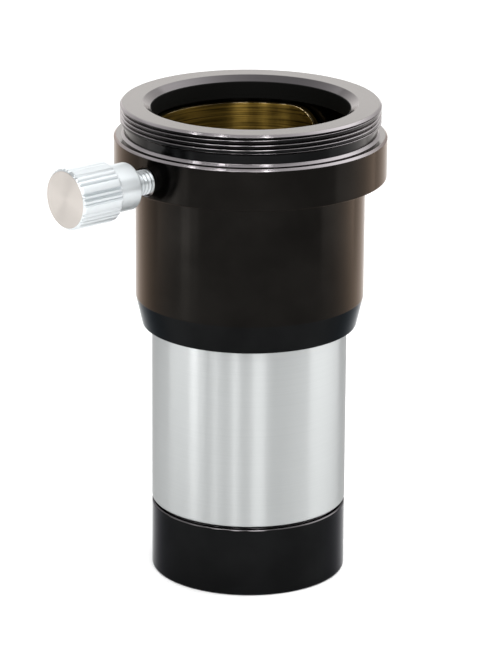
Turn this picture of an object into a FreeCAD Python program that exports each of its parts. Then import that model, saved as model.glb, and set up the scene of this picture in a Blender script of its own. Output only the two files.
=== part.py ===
"""A 1.25 inch two-times focal extender for a telescope: eyepiece holder, push-fit barrel and lens cell.

The frame: millimetres, +Z up the optical axis from the lens cell's standing face towards the
eyepiece, and the clamping thumbscrew on the -X side.
"""

import FreeCAD, Part
import math
import os
import re

import Sketcher

SIZES = {
    # heights of the pieces in the stack, from the standing face up
    "cell_height": 11.4,
    "neck_height": 0.45,
    "barrel_length": 30.13,
    "body_length": 24.82,
    "collar_height": 6.8,
    "relief_height": 2.0,
    "camera_thread_height": 3.2,
    # the outside: the barrel's radius, and steps from it, from the groove and from the camera thread
    "barrel_radius": 15.875,
    "neck_step": 0.675,
    "groove_wall": 1.09,
    "foot_overhang": 1.575,
    "body_cone": 4.78,
    "collar_step": 1.0,
    "relief_step": 0.6,
    # edge breaks
    "collar_edge": 0.35,
    "relief_foot": 0.4,
    "cell_edge": 0.35,
    "barrel_edge": 0.2,
    # the eyepiece socket and the thread for a camera ring round its mouth
    "socket_radius": 16.0,
    "socket_floor": 1.4,
    "mouth_step": 1.35,
    "mouth_depth": 0.93,
    "camera_thread_radius": 21.0,
    "camera_thread_pitch": 0.75,
    "camera_thread_depth": 0.46,
    "camera_thread_edge": 0.66,
    # the split clamping ring and the groove that it floats in
    "ring_height": 9.92,
    "ring_wall": 1.0,
    "ring_recess": 0.05,
    "ring_gap": 4.0,
    "ring_float": 0.4,
    "ring_head_room": 0.75,
    "ring_foot_room": 0.05,
    # the thumbscrew: its height above the collar's foot, and its lengths outwards
    "screw_rise": 2.59,
    "tip_gap": 0.45,
    "shoulder_stand": 3.5,
    "shoulder_length": 4.6,
    "head_length": 7.9,
    "screw_radius": 2.0,
    "screw_pitch": 0.7,
    "screw_thread_depth": 0.38,
    "screw_edge": 0.3,
    "stud_socket_depth": 8.7,
    "stud_end_room": 0.3,
    "shoulder_radius": 3.8,
    "head_radius": 4.89,
    "face_radius": 4.515,
    "head_back_edge": 0.4,
    "knurl_depth": 0.28,
    "knurl_width": 0.5,
    "knurl_step": 10.0,
    "mouth_countersink": 0.4,
    # the bore that light passes through, and the thread that joins barrel and holder
    "barrel_wall": 2.275,
    "joint_step": 0.875,
    "joint_length": 5.4,
    "joint_end_room": 0.22,
    "joint_pitch": 1.0,
    "joint_thread_depth": 0.5,
    # the lens cell's threads
    "cell_thread_step": 1.625,
    "cell_thread_length": 4.0,
    "filter_wall": 1.945,
    "filter_length": 4.8,
    "filter_edge": 0.4,
    "fine_pitch": 0.6,
    "fine_thread_depth": 0.3,
    # the cemented pair of lenses and the ring that holds it
    "retainer_wall": 1.3,
    "retainer_land": 0.4,
    "lens_rim": 0.8,
    "lens_curve": 31.2,
    "lip_lap": 0.9,
    "lip_height": 1.0,
    "negative_centre": 1.8,
    "positive_rim": 1.4,
    "retainer_lap": 1.0,
    "retainer_height": 1.5,
    "retainer_step": 0.4,
    "slot_width": 1.5,
    "slot_depth": 0.7,
    # clearances
    "thread_clearance": 0.05,
    "lens_clearance": 0.05,
}

# radii and levels that follow from the sizes, as sums of their aliases
RING_INSIDE = "(socket_radius + ring_recess)"
RING_OUTSIDE = f"({RING_INSIDE} + ring_wall)"
GROOVE = f"({RING_OUTSIDE} + ring_float)"
BODY = f"({GROOVE} + groove_wall)"
FOOT = "(barrel_radius + foot_overhang)"
COLLAR = "(camera_thread_radius + collar_step)"
RELIEF = "(camera_thread_radius - relief_step)"
MOUTH = "(socket_radius + mouth_step)"
NECK = "(barrel_radius - neck_step)"
LIGHT_BORE = "(barrel_radius - barrel_wall)"
JOINT = "(barrel_radius - joint_step)"
JOINT_BORE = f"({JOINT} + thread_clearance)"
CELL_THREAD = "(barrel_radius - cell_thread_step)"
CELL_BORE = f"({CELL_THREAD} + thread_clearance)"
FILTER = "(barrel_radius - filter_wall)"
RETAINER_THREAD = f"({CELL_THREAD} - retainer_wall)"
RETAINER = f"({RETAINER_THREAD} - thread_clearance)"
LENS = f"({RETAINER} - retainer_land)"
LENS_BORE = f"({LENS} + lens_clearance)"
LENS_FACE = f"({LENS} - lens_rim)"
LIP = f"({LENS} - lip_lap)"
RETAINER_BORE = f"({LENS} - retainer_lap)"
STUD_BORE = "(screw_radius + thread_clearance)"
STUD_TIP = f"({RING_OUTSIDE} + tip_gap)"
SHOULDER = f"({COLLAR} + shoulder_stand)"
HEAD = f"({SHOULDER} + shoulder_length)"
FACE = f"({HEAD} + head_length)"

BARREL_FOOT = "(cell_height + neck_height)"
HOLDER_FOOT = f"({BARREL_FOOT} + barrel_length)"
COLLAR_FOOT = f"({HOLDER_FOOT} + body_length)"
COLLAR_TOP = f"({COLLAR_FOOT} + collar_height)"
THREAD_FOOT = f"({COLLAR_TOP} + relief_height)"
TOP = f"({THREAD_FOOT} + camera_thread_height)"
SOCKET_FLOOR = f"({HOLDER_FOOT} + joint_length + joint_end_room + socket_floor)"
SCREW_HEIGHT = f"({COLLAR_FOOT} + screw_rise)"
RING_FOOT = f"({SCREW_HEIGHT} - ring_height / 2)"
RING_TOP = f"({SCREW_HEIGHT} + ring_height / 2)"
SEAT = "(filter_length + lip_height)"
SAG = f"(lens_curve - sqrt(lens_curve ^ 2 - {LENS_FACE} ^ 2))"
CEMENT_RIM = f"({SEAT} + {SAG} * 2 + negative_centre)"
RETAINER_FOOT = f"({CEMENT_RIM} + positive_rim)"
CELL_TOP = f"({BARREL_FOOT} + cell_thread_length)"

KNURL_GROUPS = 9
GROOVES_IN_A_GROUP = (-1, 0, 1)
CUT_MARGIN = 1.0

doc = FreeCAD.newDocument("FocalExtender")


def make_sheet():
    """The driving dimensions, one to a row: a name, and its value under that alias."""
    sheet = doc.addObject("Spreadsheet::Sheet", "Sizes")
    for row, (alias, value) in enumerate(SIZES.items(), start=1):
        sheet.set(f"A{row}", alias.replace("_", " "))
        sheet.set(f"B{row}", str(value))
        sheet.setAlias(f"B{row}", alias)
    doc.recompute()
    return sheet


def formula(words):
    """A FreeCAD expression from sums that are written with the sheet's aliases."""
    return re.sub(
        r"[a-z_]+",
        lambda word: "Sizes." + word[0] if word[0] in SIZES else word[0],
        str(words),
    )


def value_of(words):
    """What such a sum comes to now, for a sketch's starting shape."""
    result = sheet.evalExpression(formula(words))
    return float(getattr(result, "Value", result))


def origin_part(body, role):
    """One of the body's own origin planes or axes."""
    return next(part for part in body.Origin.OriginFeatures if part.Role == role)


def new_body(label):
    body = doc.addObject("PartDesign::Body", label)
    body.Label = label
    return body


def new_sketch(body, name, plane):
    sketch = body.newObject("Sketcher::SketchObject", name)
    sketch.AttachmentSupport = (origin_part(body, plane), "")
    sketch.MapMode = "FlatFace"
    return sketch


def arc_between(start, end, radius, bulge):
    """A circle's shorter arc from start to end. bulge is 1 if it turns left of that line, or -1."""
    middle = (start + end) / 2
    chord = end - start
    rise = math.sqrt(radius**2 - chord.Length**2 / 4)
    aside = FreeCAD.Vector(-chord.y, chord.x, 0).normalize()
    centre = middle - aside * rise * bulge
    crown = centre + aside * radius * bulge
    return Part.Arc(start, crown, end)


def edge_ends(sketch, edge, start):
    """The sketch's numbers for an edge's first and last point, as the outline runs."""
    forward = sketch.getPoint(edge, 1).distanceToPoint(start) < 1e-6
    return (1, 2) if forward else (2, 1)


def draw_outline(sketch, corners):
    """A closed outline. A corner is (across, up), or (across, up, radius, bulge) where an arc leaves it."""
    points = [FreeCAD.Vector(value_of(c[0]), value_of(c[1]), 0) for c in corners]
    edges = []
    for number, corner in enumerate(corners):
        start = points[number]
        end = points[(number + 1) % len(points)]
        if len(corner) == 2:
            edges.append(sketch.addGeometry(Part.LineSegment(start, end)))
        else:
            arc = arc_between(start, end, value_of(corner[2]), corner[3])
            edges.append(sketch.addGeometry(arc))
    for number, edge in enumerate(edges):
        after = (number + 1) % len(edges)
        last = edge_ends(sketch, edge, points[number])[1]
        first = edge_ends(sketch, edges[after], points[after])[0]
        sketch.addConstraint(Sketcher.Constraint("Coincident", edge, last, edges[after], first))
    for number, corner in enumerate(corners):
        edge = edges[number]
        first = edge_ends(sketch, edge, points[number])[0]
        for kind, words in (("DistanceX", corner[0]), ("DistanceY", corner[1])):
            tie = sketch.addConstraint(
                Sketcher.Constraint(kind, -1, 1, edge, first, value_of(words))
            )
            sketch.setExpression(f"Constraints[{tie}]", formula(words))
        if len(corner) == 4:
            tie = sketch.addConstraint(
                Sketcher.Constraint("Radius", edge, value_of(corner[2]))
            )
            sketch.setExpression(f"Constraints[{tie}]", formula(corner[2]))


def turn(body, corners):
    """Adds a solid of revolution about the body's Z axis. Corners are (radius, height)."""
    sketch = new_sketch(body, body.Label + "_section", "XZ_Plane")
    draw_outline(sketch, corners)
    solid = body.newObject("PartDesign::Revolution", body.Label + "_turned")
    solid.Profile = sketch
    solid.ReferenceAxis = (sketch, ["V_Axis"])
    solid.Angle = 360
    doc.recompute()


def checked_cut(body, feature, before):
    """Stops the build where a cut took nothing away."""
    doc.recompute()
    if body.Shape.Volume > before - 1e-3:
        raise RuntimeError(f"{feature.Label} cuts nothing")


def cut_thread(body, name, crest, root, foot, length, pitch):
    """Cuts V grooves, one to a pitch, into a wall from foot up over length."""
    before = body.Shape.Volume
    sketch = new_sketch(body, name + "_profile", "XZ_Plane")
    outwards = "1" if value_of(root) < value_of(crest) else "-1"
    half = f"({pitch}) * 0.44"
    middle = f"{foot} + {pitch} / 2"
    # the groove's mouth stands a little clear of the wall, so that its flanks run out of it
    clear = f"{crest} + {outwards} * ({pitch}) * 0.05"
    draw_outline(
        sketch,
        [
            (root, middle),
            (clear, f"{middle} - {half}"),
            (clear, f"{middle} + {half}"),
        ],
    )
    groove = body.newObject("PartDesign::Groove", name + "_groove")
    groove.Profile = sketch
    groove.ReferenceAxis = (sketch, ["V_Axis"])
    groove.Angle = 360
    doc.recompute()
    pattern = body.newObject("PartDesign::LinearPattern", name + "_thread")
    pattern.Originals = [groove]
    pattern.Direction = (origin_part(body, "Z_Axis"), [""])
    turns = f"max(1; floor(({length}) / {pitch}))"
    pattern.setExpression("Occurrences", formula(turns))
    pattern.setExpression("Length", formula(f"({turns} - 1) * {pitch} + 0.0001"))
    body.Tip = pattern
    checked_cut(body, pattern, before)


def make_holder():
    """The black body: eyepiece socket, collar and camera thread, turned in one piece."""
    body = new_body("eyepiece_holder")
    turn(
        body,
        [
            (JOINT_BORE, HOLDER_FOOT),
            (FOOT, HOLDER_FOOT),
            (BODY, f"{HOLDER_FOOT} + body_cone"),
            (BODY, COLLAR_FOOT),
            (COLLAR, COLLAR_FOOT),
            (COLLAR, f"{COLLAR_TOP} - collar_edge"),
            (f"{COLLAR} - collar_edge", COLLAR_TOP),
            (f"{RELIEF} + relief_foot", COLLAR_TOP),
            (RELIEF, f"{COLLAR_TOP} + relief_foot"),
            (RELIEF, THREAD_FOOT),
            ("camera_thread_radius", f"{THREAD_FOOT} + camera_thread_pitch / 2"),
            ("camera_thread_radius", f"{TOP} - camera_thread_edge"),
            ("camera_thread_radius - camera_thread_edge", TOP),
            (MOUTH, TOP),
            ("socket_radius", f"{TOP} - mouth_depth"),
            ("socket_radius", f"{RING_TOP} + ring_head_room"),
            (GROOVE, f"{RING_TOP} + ring_head_room"),
            (GROOVE, f"{RING_FOOT} - ring_foot_room"),
            ("socket_radius", f"{RING_FOOT} - ring_foot_room"),
            ("socket_radius", SOCKET_FLOOR),
            (LIGHT_BORE, SOCKET_FLOOR),
            (LIGHT_BORE, f"{SOCKET_FLOOR} - socket_floor"),
            (JOINT_BORE, f"{SOCKET_FLOOR} - socket_floor"),
        ],
    )
    cut_thread(
        body,
        "camera",
        "camera_thread_radius",
        "camera_thread_radius - camera_thread_depth",
        f"{THREAD_FOOT} + camera_thread_pitch / 2",
        "camera_thread_height - camera_thread_edge",
        "camera_thread_pitch",
    )
    cut_thread(
        body,
        "joint",
        JOINT_BORE,
        f"{JOINT_BORE} + joint_thread_depth",
        f"{HOLDER_FOOT} + joint_pitch / 2",
        "joint_length - joint_pitch",
        "joint_pitch",
    )
    drill_screw_hole(body)
    return body


def drill_screw_hole(body):
    """The thumbscrew's hole through the collar into the ring's groove, countersunk outside."""
    before = body.Shape.Volume
    sketch = new_sketch(body, "screw_hole_section", "XZ_Plane")
    outer_end = f"-({COLLAR} + 1)"
    countersink = "mouth_countersink"
    draw_outline(
        sketch,
        [
            ("-socket_radius", SCREW_HEIGHT),
            ("-socket_radius", f"{SCREW_HEIGHT} + {STUD_BORE}"),
            (f"-({COLLAR} - {countersink})", f"{SCREW_HEIGHT} + {STUD_BORE}"),
            (outer_end, f"{SCREW_HEIGHT} + {STUD_BORE} + {countersink} + 1"),
            (outer_end, SCREW_HEIGHT),
        ],
    )
    axis_edge = len(sketch.Geometry) - 1
    hole = body.newObject("PartDesign::Groove", "screw_hole")
    hole.Profile = sketch
    hole.ReferenceAxis = (sketch, [f"Edge{axis_edge + 1}"])
    hole.Angle = 360
    checked_cut(body, hole, before)


def make_ring():
    """The split brass ring, with round ends either side of a gap that faces away from the screw."""
    body = new_body("compression_ring")
    turn(
        body,
        [
            (RING_INSIDE, RING_FOOT),
            (RING_OUTSIDE, RING_FOOT),
            (RING_OUTSIDE, RING_TOP),
            (RING_INSIDE, RING_TOP),
        ],
    )
    before = body.Shape.Volume
    sketch = new_sketch(body, "gap_outline", "YZ_Plane")
    corner = "(ring_gap / 2 + ring_height / 2)"
    margin = str(CUT_MARGIN)
    draw_outline(
        sketch,
        [
            (f"-{corner}", RING_FOOT, "ring_height / 2", 1),
            ("-ring_gap / 2", SCREW_HEIGHT, "ring_height / 2", 1),
            (f"-{corner}", RING_TOP),
            (f"-{corner}", f"{RING_TOP} + {margin}"),
            (corner, f"{RING_TOP} + {margin}"),
            (corner, RING_TOP, "ring_height / 2", 1),
            ("ring_gap / 2", SCREW_HEIGHT, "ring_height / 2", 1),
            (corner, RING_FOOT),
            (corner, f"{RING_FOOT} - {margin}"),
            (f"-{corner}", f"{RING_FOOT} - {margin}"),
        ],
    )
    gap = body.newObject("PartDesign::Pocket", "ring_gap")
    gap.Profile = sketch
    gap.Type = "Length"
    gap.setExpression("Length", formula(f"{RING_OUTSIDE} + {margin}"))
    gap.Reversed = True
    checked_cut(body, gap, before)
    return body


def make_barrel():
    """The silver push-fit barrel, with a female thread for the cell and a male one for the holder."""
    body = new_body("barrel")
    turn(
        body,
        [
            (CELL_BORE, BARREL_FOOT),
            ("barrel_radius - barrel_edge", BARREL_FOOT),
            ("barrel_radius", f"{BARREL_FOOT} + barrel_edge"),
            ("barrel_radius", HOLDER_FOOT),
            (JOINT, HOLDER_FOOT),
            (JOINT, f"{HOLDER_FOOT} + joint_length"),
            (LIGHT_BORE, f"{HOLDER_FOOT} + joint_length"),
            (LIGHT_BORE, f"{CELL_TOP} + fine_pitch"),
            (CELL_BORE, f"{CELL_TOP} + fine_pitch"),
        ],
    )
    cut_thread(
        body,
        "cell_seat",
        CELL_BORE,
        f"{CELL_BORE} + fine_thread_depth",
        f"{BARREL_FOOT} + fine_pitch / 2",
        "cell_thread_length",
        "fine_pitch",
    )
    cut_thread(
        body,
        "joint",
        JOINT,
        f"{JOINT} - joint_thread_depth",
        f"{HOLDER_FOOT} + joint_pitch / 2",
        "joint_length - joint_pitch",
        "joint_pitch",
    )
    return body


def make_cell():
    """The black lens cell: a filter thread below, the lens seat, and a male thread for the barrel."""
    body = new_body("lens_cell")
    turn(
        body,
        [
            (f"{FILTER} + filter_edge", "0"),
            ("barrel_radius - cell_edge", "0"),
            ("barrel_radius", "cell_edge"),
            ("barrel_radius", "cell_height - cell_edge"),
            ("barrel_radius - cell_edge", "cell_height"),
            (NECK, "cell_height"),
            (NECK, BARREL_FOOT),
            (CELL_THREAD, BARREL_FOOT),
            (CELL_THREAD, CELL_TOP),
            (RETAINER_THREAD, CELL_TOP),
            (RETAINER_THREAD, f"{RETAINER_FOOT} - retainer_step"),
            (LENS_BORE, f"{RETAINER_FOOT} - retainer_step"),
            (LENS_BORE, SEAT),
            (LIP, SEAT),
            (LIP, "filter_length"),
            (FILTER, "filter_length"),
            (FILTER, "filter_edge"),
        ],
    )
    cut_thread(
        body,
        "filter",
        FILTER,
        f"{FILTER} + fine_thread_depth",
        "fine_pitch * 1.5",
        "filter_length - fine_pitch * 2",
        "fine_pitch",
    )
    cut_thread(
        body,
        "cell",
        CELL_THREAD,
        f"{CELL_THREAD} - fine_thread_depth",
        f"{BARREL_FOOT} + fine_pitch / 2",
        "cell_thread_length - fine_pitch / 2",
        "fine_pitch",
    )
    return body


def make_negative():
    """The hollow-faced crown glass element, with a flat rim round each face."""
    body = new_body("negative_element")
    turn(
        body,
        [
            ("0", f"{SEAT} + {SAG}", "lens_curve", 1),
            (LENS_FACE, SEAT),
            (LENS, SEAT),
            (LENS, CEMENT_RIM),
            (LENS_FACE, CEMENT_RIM, "lens_curve", 1),
            ("0", f"{CEMENT_RIM} - {SAG}"),
        ],
    )
    return body


def make_positive():
    """The flint glass element, cemented into the crown's upper hollow and flat on top."""
    body = new_body("positive_element")
    turn(
        body,
        [
            ("0", f"{CEMENT_RIM} - {SAG}", "lens_curve", -1),
            (LENS_FACE, CEMENT_RIM),
            (LENS, CEMENT_RIM),
            (LENS, RETAINER_FOOT),
            ("0", RETAINER_FOOT),
        ],
    )
    return body


def make_retainer():
    """The threaded ring that holds the lenses down, with two slots for a spanner."""
    body = new_body("retaining_ring")
    top = f"({RETAINER_FOOT} + retainer_height)"
    turn(
        body,
        [
            (RETAINER_BORE, RETAINER_FOOT),
            (RETAINER, RETAINER_FOOT),
            (RETAINER, top),
            (RETAINER_BORE, top),
        ],
    )
    before = body.Shape.Volume
    sketch = new_sketch(body, "spanner_slots", "XZ_Plane")
    for side in ("", "-"):
        inner = f"{side}({RETAINER_BORE} - {CUT_MARGIN})"
        outer = f"{side}({RETAINER} + {CUT_MARGIN})"
        draw_outline(
            sketch,
            [
                (inner, f"{top} - slot_depth"),
                (outer, f"{top} - slot_depth"),
                (outer, f"{top} + {CUT_MARGIN}"),
                (inner, f"{top} + {CUT_MARGIN}"),
            ],
        )
    slots = body.newObject("PartDesign::Pocket", "slots")
    slots.Profile = sketch
    slots.Type = "Length"
    slots.Midplane = True
    slots.setExpression("Length", formula("slot_width"))
    checked_cut(body, slots, before)
    return body


def lay_on_screw_axis(body):
    """Turns a piece that is drawn along its own Z axis to lie along the thumbscrew's axis."""
    outwards = FreeCAD.Rotation(FreeCAD.Vector(0, 1, 0), -90)
    body.Placement = FreeCAD.Placement(FreeCAD.Vector(0, 0, value_of(SCREW_HEIGHT)), outwards)
    body.setExpression("Placement.Base.z", formula(SCREW_HEIGHT))


def make_stud():
    """The thumbscrew's threaded stud, from its tip by the ring to its end inside the head."""
    body = new_body("thumbscrew_stud")
    end = f"({SHOULDER} + stud_socket_depth - stud_end_room)"
    turn(
        body,
        [
            ("0", STUD_TIP),
            ("screw_radius - screw_edge", STUD_TIP),
            ("screw_radius", f"{STUD_TIP} + screw_edge"),
            ("screw_radius", end),
            ("0", end),
        ],
    )
    cut_thread(
        body,
        "stud",
        "screw_radius",
        "screw_radius - screw_thread_depth",
        f"{STUD_TIP} + screw_edge",
        f"{SHOULDER} - {STUD_TIP} - screw_edge - screw_pitch / 2",
        "screw_pitch",
    )
    lay_on_screw_axis(body)
    return body


def make_head():
    """The thumbscrew's head: a shoulder, then a grip with straight grooves in groups of three."""
    body = new_body("thumbscrew_head")
    face_edge = "(head_radius - face_radius)"
    turn(
        body,
        [
            (STUD_BORE, SHOULDER),
            ("shoulder_radius - screw_edge", SHOULDER),
            ("shoulder_radius", f"{SHOULDER} + screw_edge"),
            ("shoulder_radius", HEAD),
            ("head_radius - head_back_edge", HEAD),
            ("head_radius", f"{HEAD} + head_back_edge"),
            ("head_radius", f"{FACE} - {face_edge}"),
            ("face_radius", FACE),
            ("0", FACE),
            ("0", f"{SHOULDER} + stud_socket_depth"),
            (STUD_BORE, f"{SHOULDER} + stud_socket_depth"),
        ],
    )
    before = body.Shape.Volume
    sketch = new_sketch(body, "knurl_profile", "XY_Plane")
    root = "(head_radius - knurl_depth)"
    crest = "(head_radius + knurl_depth)"
    for place in GROOVES_IN_A_GROUP:
        angle = f"({place} * knurl_step)"
        spread = "(knurl_width * 2 / head_radius * 57.3)"
        draw_outline(
            sketch,
            [
                (f"{root} * cos({angle} * 1deg)", f"{root} * sin({angle} * 1deg)"),
                (
                    f"{crest} * cos(({angle} - {spread} / 2) * 1deg)",
                    f"{crest} * sin(({angle} - {spread} / 2) * 1deg)",
                ),
                (
                    f"{crest} * cos(({angle} + {spread} / 2) * 1deg)",
                    f"{crest} * sin(({angle} + {spread} / 2) * 1deg)",
                ),
            ],
        )
    grooves = body.newObject("PartDesign::Pocket", "knurl_grooves")
    grooves.Profile = sketch
    grooves.Type = "Length"
    grooves.setExpression("Length", formula(f"{FACE} + {CUT_MARGIN}"))
    grooves.Reversed = True
    doc.recompute()
    pattern = body.newObject("PartDesign::PolarPattern", "knurl")
    pattern.Originals = [grooves]
    pattern.Axis = (origin_part(body, "Z_Axis"), [""])
    pattern.Angle = 360
    pattern.Occurrences = KNURL_GROUPS
    body.Tip = pattern
    checked_cut(body, pattern, before)
    lay_on_screw_axis(body)
    return body


def write_parts(bodies):
    """Checks the whole document, then writes one STEP file for each piece."""
    doc.recompute()
    for thing in doc.Objects:
        if "Invalid" in thing.State or "Error" in thing.State:
            raise RuntimeError(f"{thing.Label} failed: {thing.State}")
    for body in bodies:
        shape = body.Shape
        if shape.isNull() or not shape.isValid() or len(shape.Solids) != 1:
            raise RuntimeError(f"{body.Label} isn't one valid solid")
    os.makedirs("parts", exist_ok=True)
    for body in bodies:
        body.Shape.exportStep(f"parts/{body.Label}.step")
        print(f"{body.Label}: {body.Shape.Volume:.1f} mm3")


sheet = make_sheet()
write_parts(
    [
        make_holder(),
        make_ring(),
        make_barrel(),
        make_cell(),
        make_negative(),
        make_positive(),
        make_retainer(),
        make_stud(),
        make_head(),
    ]
)
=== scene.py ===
"""A telescope eyepiece extender: a turned black holder with a clamping socket, a bright nosepiece,
a screwed-in lens cell and a knurled thumbscrew, shaped, finished and lit piece by piece."""

import math

import bmesh
import bpy
from bpy.props import FloatProperty, FloatVectorProperty, IntProperty, PointerProperty
from mathutils import Matrix, Vector


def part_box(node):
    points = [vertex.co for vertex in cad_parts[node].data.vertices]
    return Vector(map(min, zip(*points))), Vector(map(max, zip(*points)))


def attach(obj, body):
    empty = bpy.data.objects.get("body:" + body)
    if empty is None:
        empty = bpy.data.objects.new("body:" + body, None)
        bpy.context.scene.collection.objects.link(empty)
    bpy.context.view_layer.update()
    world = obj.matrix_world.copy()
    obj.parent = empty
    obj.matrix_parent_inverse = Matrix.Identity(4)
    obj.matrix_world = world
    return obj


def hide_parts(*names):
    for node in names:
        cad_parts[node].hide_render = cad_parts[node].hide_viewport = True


bl_info = {
    "name": "Eyepiece Extender",
    "version": (1, 0, 0),
    "blender": (4, 5, 0),
    "location": "View3D > Sidebar > Extender",
    "description": "Builds the turned, knurled and polished pieces of a telescope eyepiece extender",
    "category": "Object",
}

MM = 0.001
FULL_TURN = 2.0 * math.pi
SHARP_ANGLE = math.radians(32.0)  # faces that meet at more than this keep a sharp edge
EDGE = 0.05 * MM  # the rounding of an edge that was only just broken

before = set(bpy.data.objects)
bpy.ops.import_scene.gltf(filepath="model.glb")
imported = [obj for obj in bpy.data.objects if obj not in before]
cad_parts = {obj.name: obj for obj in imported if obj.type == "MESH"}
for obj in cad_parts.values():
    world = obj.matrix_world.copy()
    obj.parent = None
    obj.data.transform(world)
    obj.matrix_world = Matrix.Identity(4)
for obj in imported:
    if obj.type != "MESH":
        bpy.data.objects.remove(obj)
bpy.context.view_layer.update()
holder_low, holder_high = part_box("eyepiece_holder")
barrel_low, barrel_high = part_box("barrel")
cell_low, cell_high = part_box("lens_cell")
ring_low, ring_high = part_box("compression_ring")
lens_low, lens_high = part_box("negative_element")
flint_low, flint_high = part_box("positive_element")
retainer_low, retainer_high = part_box("retaining_ring")
stud_low, stud_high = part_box("thumbscrew_stud")
head_low, head_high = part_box("thumbscrew_head")
screw_height = (head_low.z + head_high.z) / 2.0


def length(name, description, default):
    """A length in metres that the sidebar shows in the scene's units."""
    return FloatProperty(
        name=name, description=description, default=default, min=0.0, precision=5, unit="LENGTH"
    )


def angle(name, description, degrees):
    """An angle, given in degrees."""
    return FloatProperty(
        name=name, description=description, default=math.radians(degrees), subtype="ANGLE"
    )


def tint(name, description, default):
    """A linear colour."""
    return FloatVectorProperty(
        name=name, description=description, default=default, size=3, min=0.0, max=1.0, subtype="COLOR"
    )


def share(name, description, default, highest=1.0):
    """A plain number, such as a roughness."""
    return FloatProperty(name=name, description=description, default=default, min=0.0, max=highest)


class ExtenderSizes(bpy.types.PropertyGroup):
    """The lengths that shape the turned pieces."""

    holder_foot_radius: length("Holder foot radius", "Radius where the holder meets the barrel", 17.45 * MM)
    holder_radius: length("Holder radius", "Radius of the holder between foot and collar", 18.54 * MM)
    holder_cone: length("Holder cone", "Height of the flare from foot to full radius", 4.78 * MM)
    collar_radius: length("Collar radius", "Radius of the collar round the thumbscrew", holder_high.x)
    collar_foot: length("Collar foot", "Height of the collar's lower face", 66.8 * MM)
    collar_top: length("Collar top", "Height of the collar's upper face", 73.6 * MM)
    mouth_radius: length("Thread radius", "Crest radius of the camera thread round the mouth", 21.0 * MM)
    mouth_pitch: length("Thread pitch", "Rise of the camera thread in one turn", 0.75 * MM)
    socket_radius: length("Socket radius", "Bore that takes a 1.25 inch eyepiece", 16.0 * MM)
    edge_radius: length("Edge radius", "Rounding of the turned pieces' sharp edges", 0.12 * MM)
    brass_gap: length("Ring gap", "Narrowest opening of the split brass ring", 4.0 * MM)
    glass_curve: length("Lens curve", "Radius of curvature of the lenses' hollow faces", 31.2 * MM)
    grip_radius: length("Grip radius", "Radius of the thumbscrew's knurled grip", head_high.y)
    grip_groove: length("Grip groove depth", "Depth of each groove in the grip", 0.28 * MM)
    grip_groups: IntProperty(
        name="Groove groups", description="Groups of three grooves round the grip", default=9, min=3
    )


class ExtenderFinishes(bpy.types.PropertyGroup):
    """The colours and roughnesses of the metals and the glass."""

    black: tint("Black", "Mirror colour of the black anodised tube and collar", (0.0072, 0.0066, 0.0060))
    black_edge: tint("Black edge", "Tint of the tube's glancing reflections", (0.85, 0.755, 0.69))
    black_roughness: share("Black roughness", "Roughness of the black anodised film", 0.17)
    plain_black: tint(
        "Plain black", "Mirror colour of the lens cell and the mouth", (0.0072, 0.0074, 0.0076)
    )
    # partly painted shade: dull black of the bore, made darker than the tube for the shade deep in the
    # socket
    lining_and_shade: tint("Socket lining", "Colour of the dull black inside the socket", (0.0035, 0.0035, 0.003))
    # partly painted sheen: the mirror colour of the black's upward chamfers and crests, part burnish and
    # part painted highlight
    burnish_and_painted_sheen: tint(
        "Burnish and painted sheen", "Mirror colour of the black's chamfers and crests", (0.30, 0.28, 0.29)
    )
    # partly painted shade: neutral like the cell's own anodise, and dimmed for the shade of the floor close
    # below it
    cell_shaded_edge: tint("Cell edge", "Tint of the lens cell's glancing reflections", (0.57, 0.57, 0.58))
    # painted shade: the foot's glancing reflections are dimmed for the shade it mirrors from the barrel and
    # floor below
    foot_shaded_edge: tint("Foot edge", "Tint of the flared foot's glancing reflections", (0.52, 0.53, 0.54))
    mouth_edge: tint("Mouth edge", "Tint of the glancing reflections round the mouth", (1.0, 0.97, 0.95))
    bright: tint("Bright metal", "Colour of the turned aluminium nosepiece", (0.400, 0.412, 0.412))
    bright_edge: tint("Bright edge", "Tint of the aluminium's glancing reflections", (0.60, 0.60, 0.60))
    bright_roughness: share("Bright roughness", "Roughness of the turned aluminium", 0.30)
    brass: tint("Brass", "Colour of the split clamping ring", (0.38, 0.245, 0.05))
    brass_rim: tint("Brass rim", "Colour of the ring's polished rim", (1.0, 0.80, 0.48))
    brass_roughness: share("Brass roughness", "Roughness of the brushed brass", 0.30)
    nickel: tint("Screw metal", "Colour of the thumbscrew", (0.63, 0.66, 0.675))
    nickel_face: tint("Screw face", "Colour of the thumbscrew's turned face", (0.33, 0.307, 0.286))
    nickel_roughness: share("Screw roughness", "Roughness of the thumbscrew", 0.38)
    coating: tint("Lens coating", "Tint of the coated glass", (0.72, 0.90, 0.86))


class StudioSettings(bpy.types.PropertyGroup):
    """The camera and the strength of the lights."""

    camera_azimuth: angle("Azimuth", "Direction in which the camera stands", -130.96)
    camera_reach: length("Reach", "Level distance from the optical axis to the camera", 606.7 * MM)
    camera_height: length("Height", "Height of the camera above the floor", 238.6 * MM)
    camera_tilt: angle("Tilt", "How far the camera looks down", 18.03)
    camera_pan: angle("Pan", "How far the camera looks left of the optical axis", 0.09)
    camera_roll: angle("Roll", "How far the camera leans to the left", 0.36)
    focal_length: FloatProperty(
        name="Focal length", description="Lens for a 36 mm sensor", default=216.6, unit="CAMERA"
    )
    sky: share("Sky", "Radiance of the white surroundings", 0.10, 10.0)
    side_glow: share("Side glow", "Radiance of the soft glow on the right", 2.1, 10.0)
    high_glow: share("High glow", "Radiance of the soft glow high on the right, behind", 1.9, 10.0)
    left_glow: share("Left glow", "Radiance of the soft glow on the left, behind", 1.0, 10.0)
    back_glow: share("Back glow", "Radiance of the soft glow behind", 2.45, 10.0)


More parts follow.
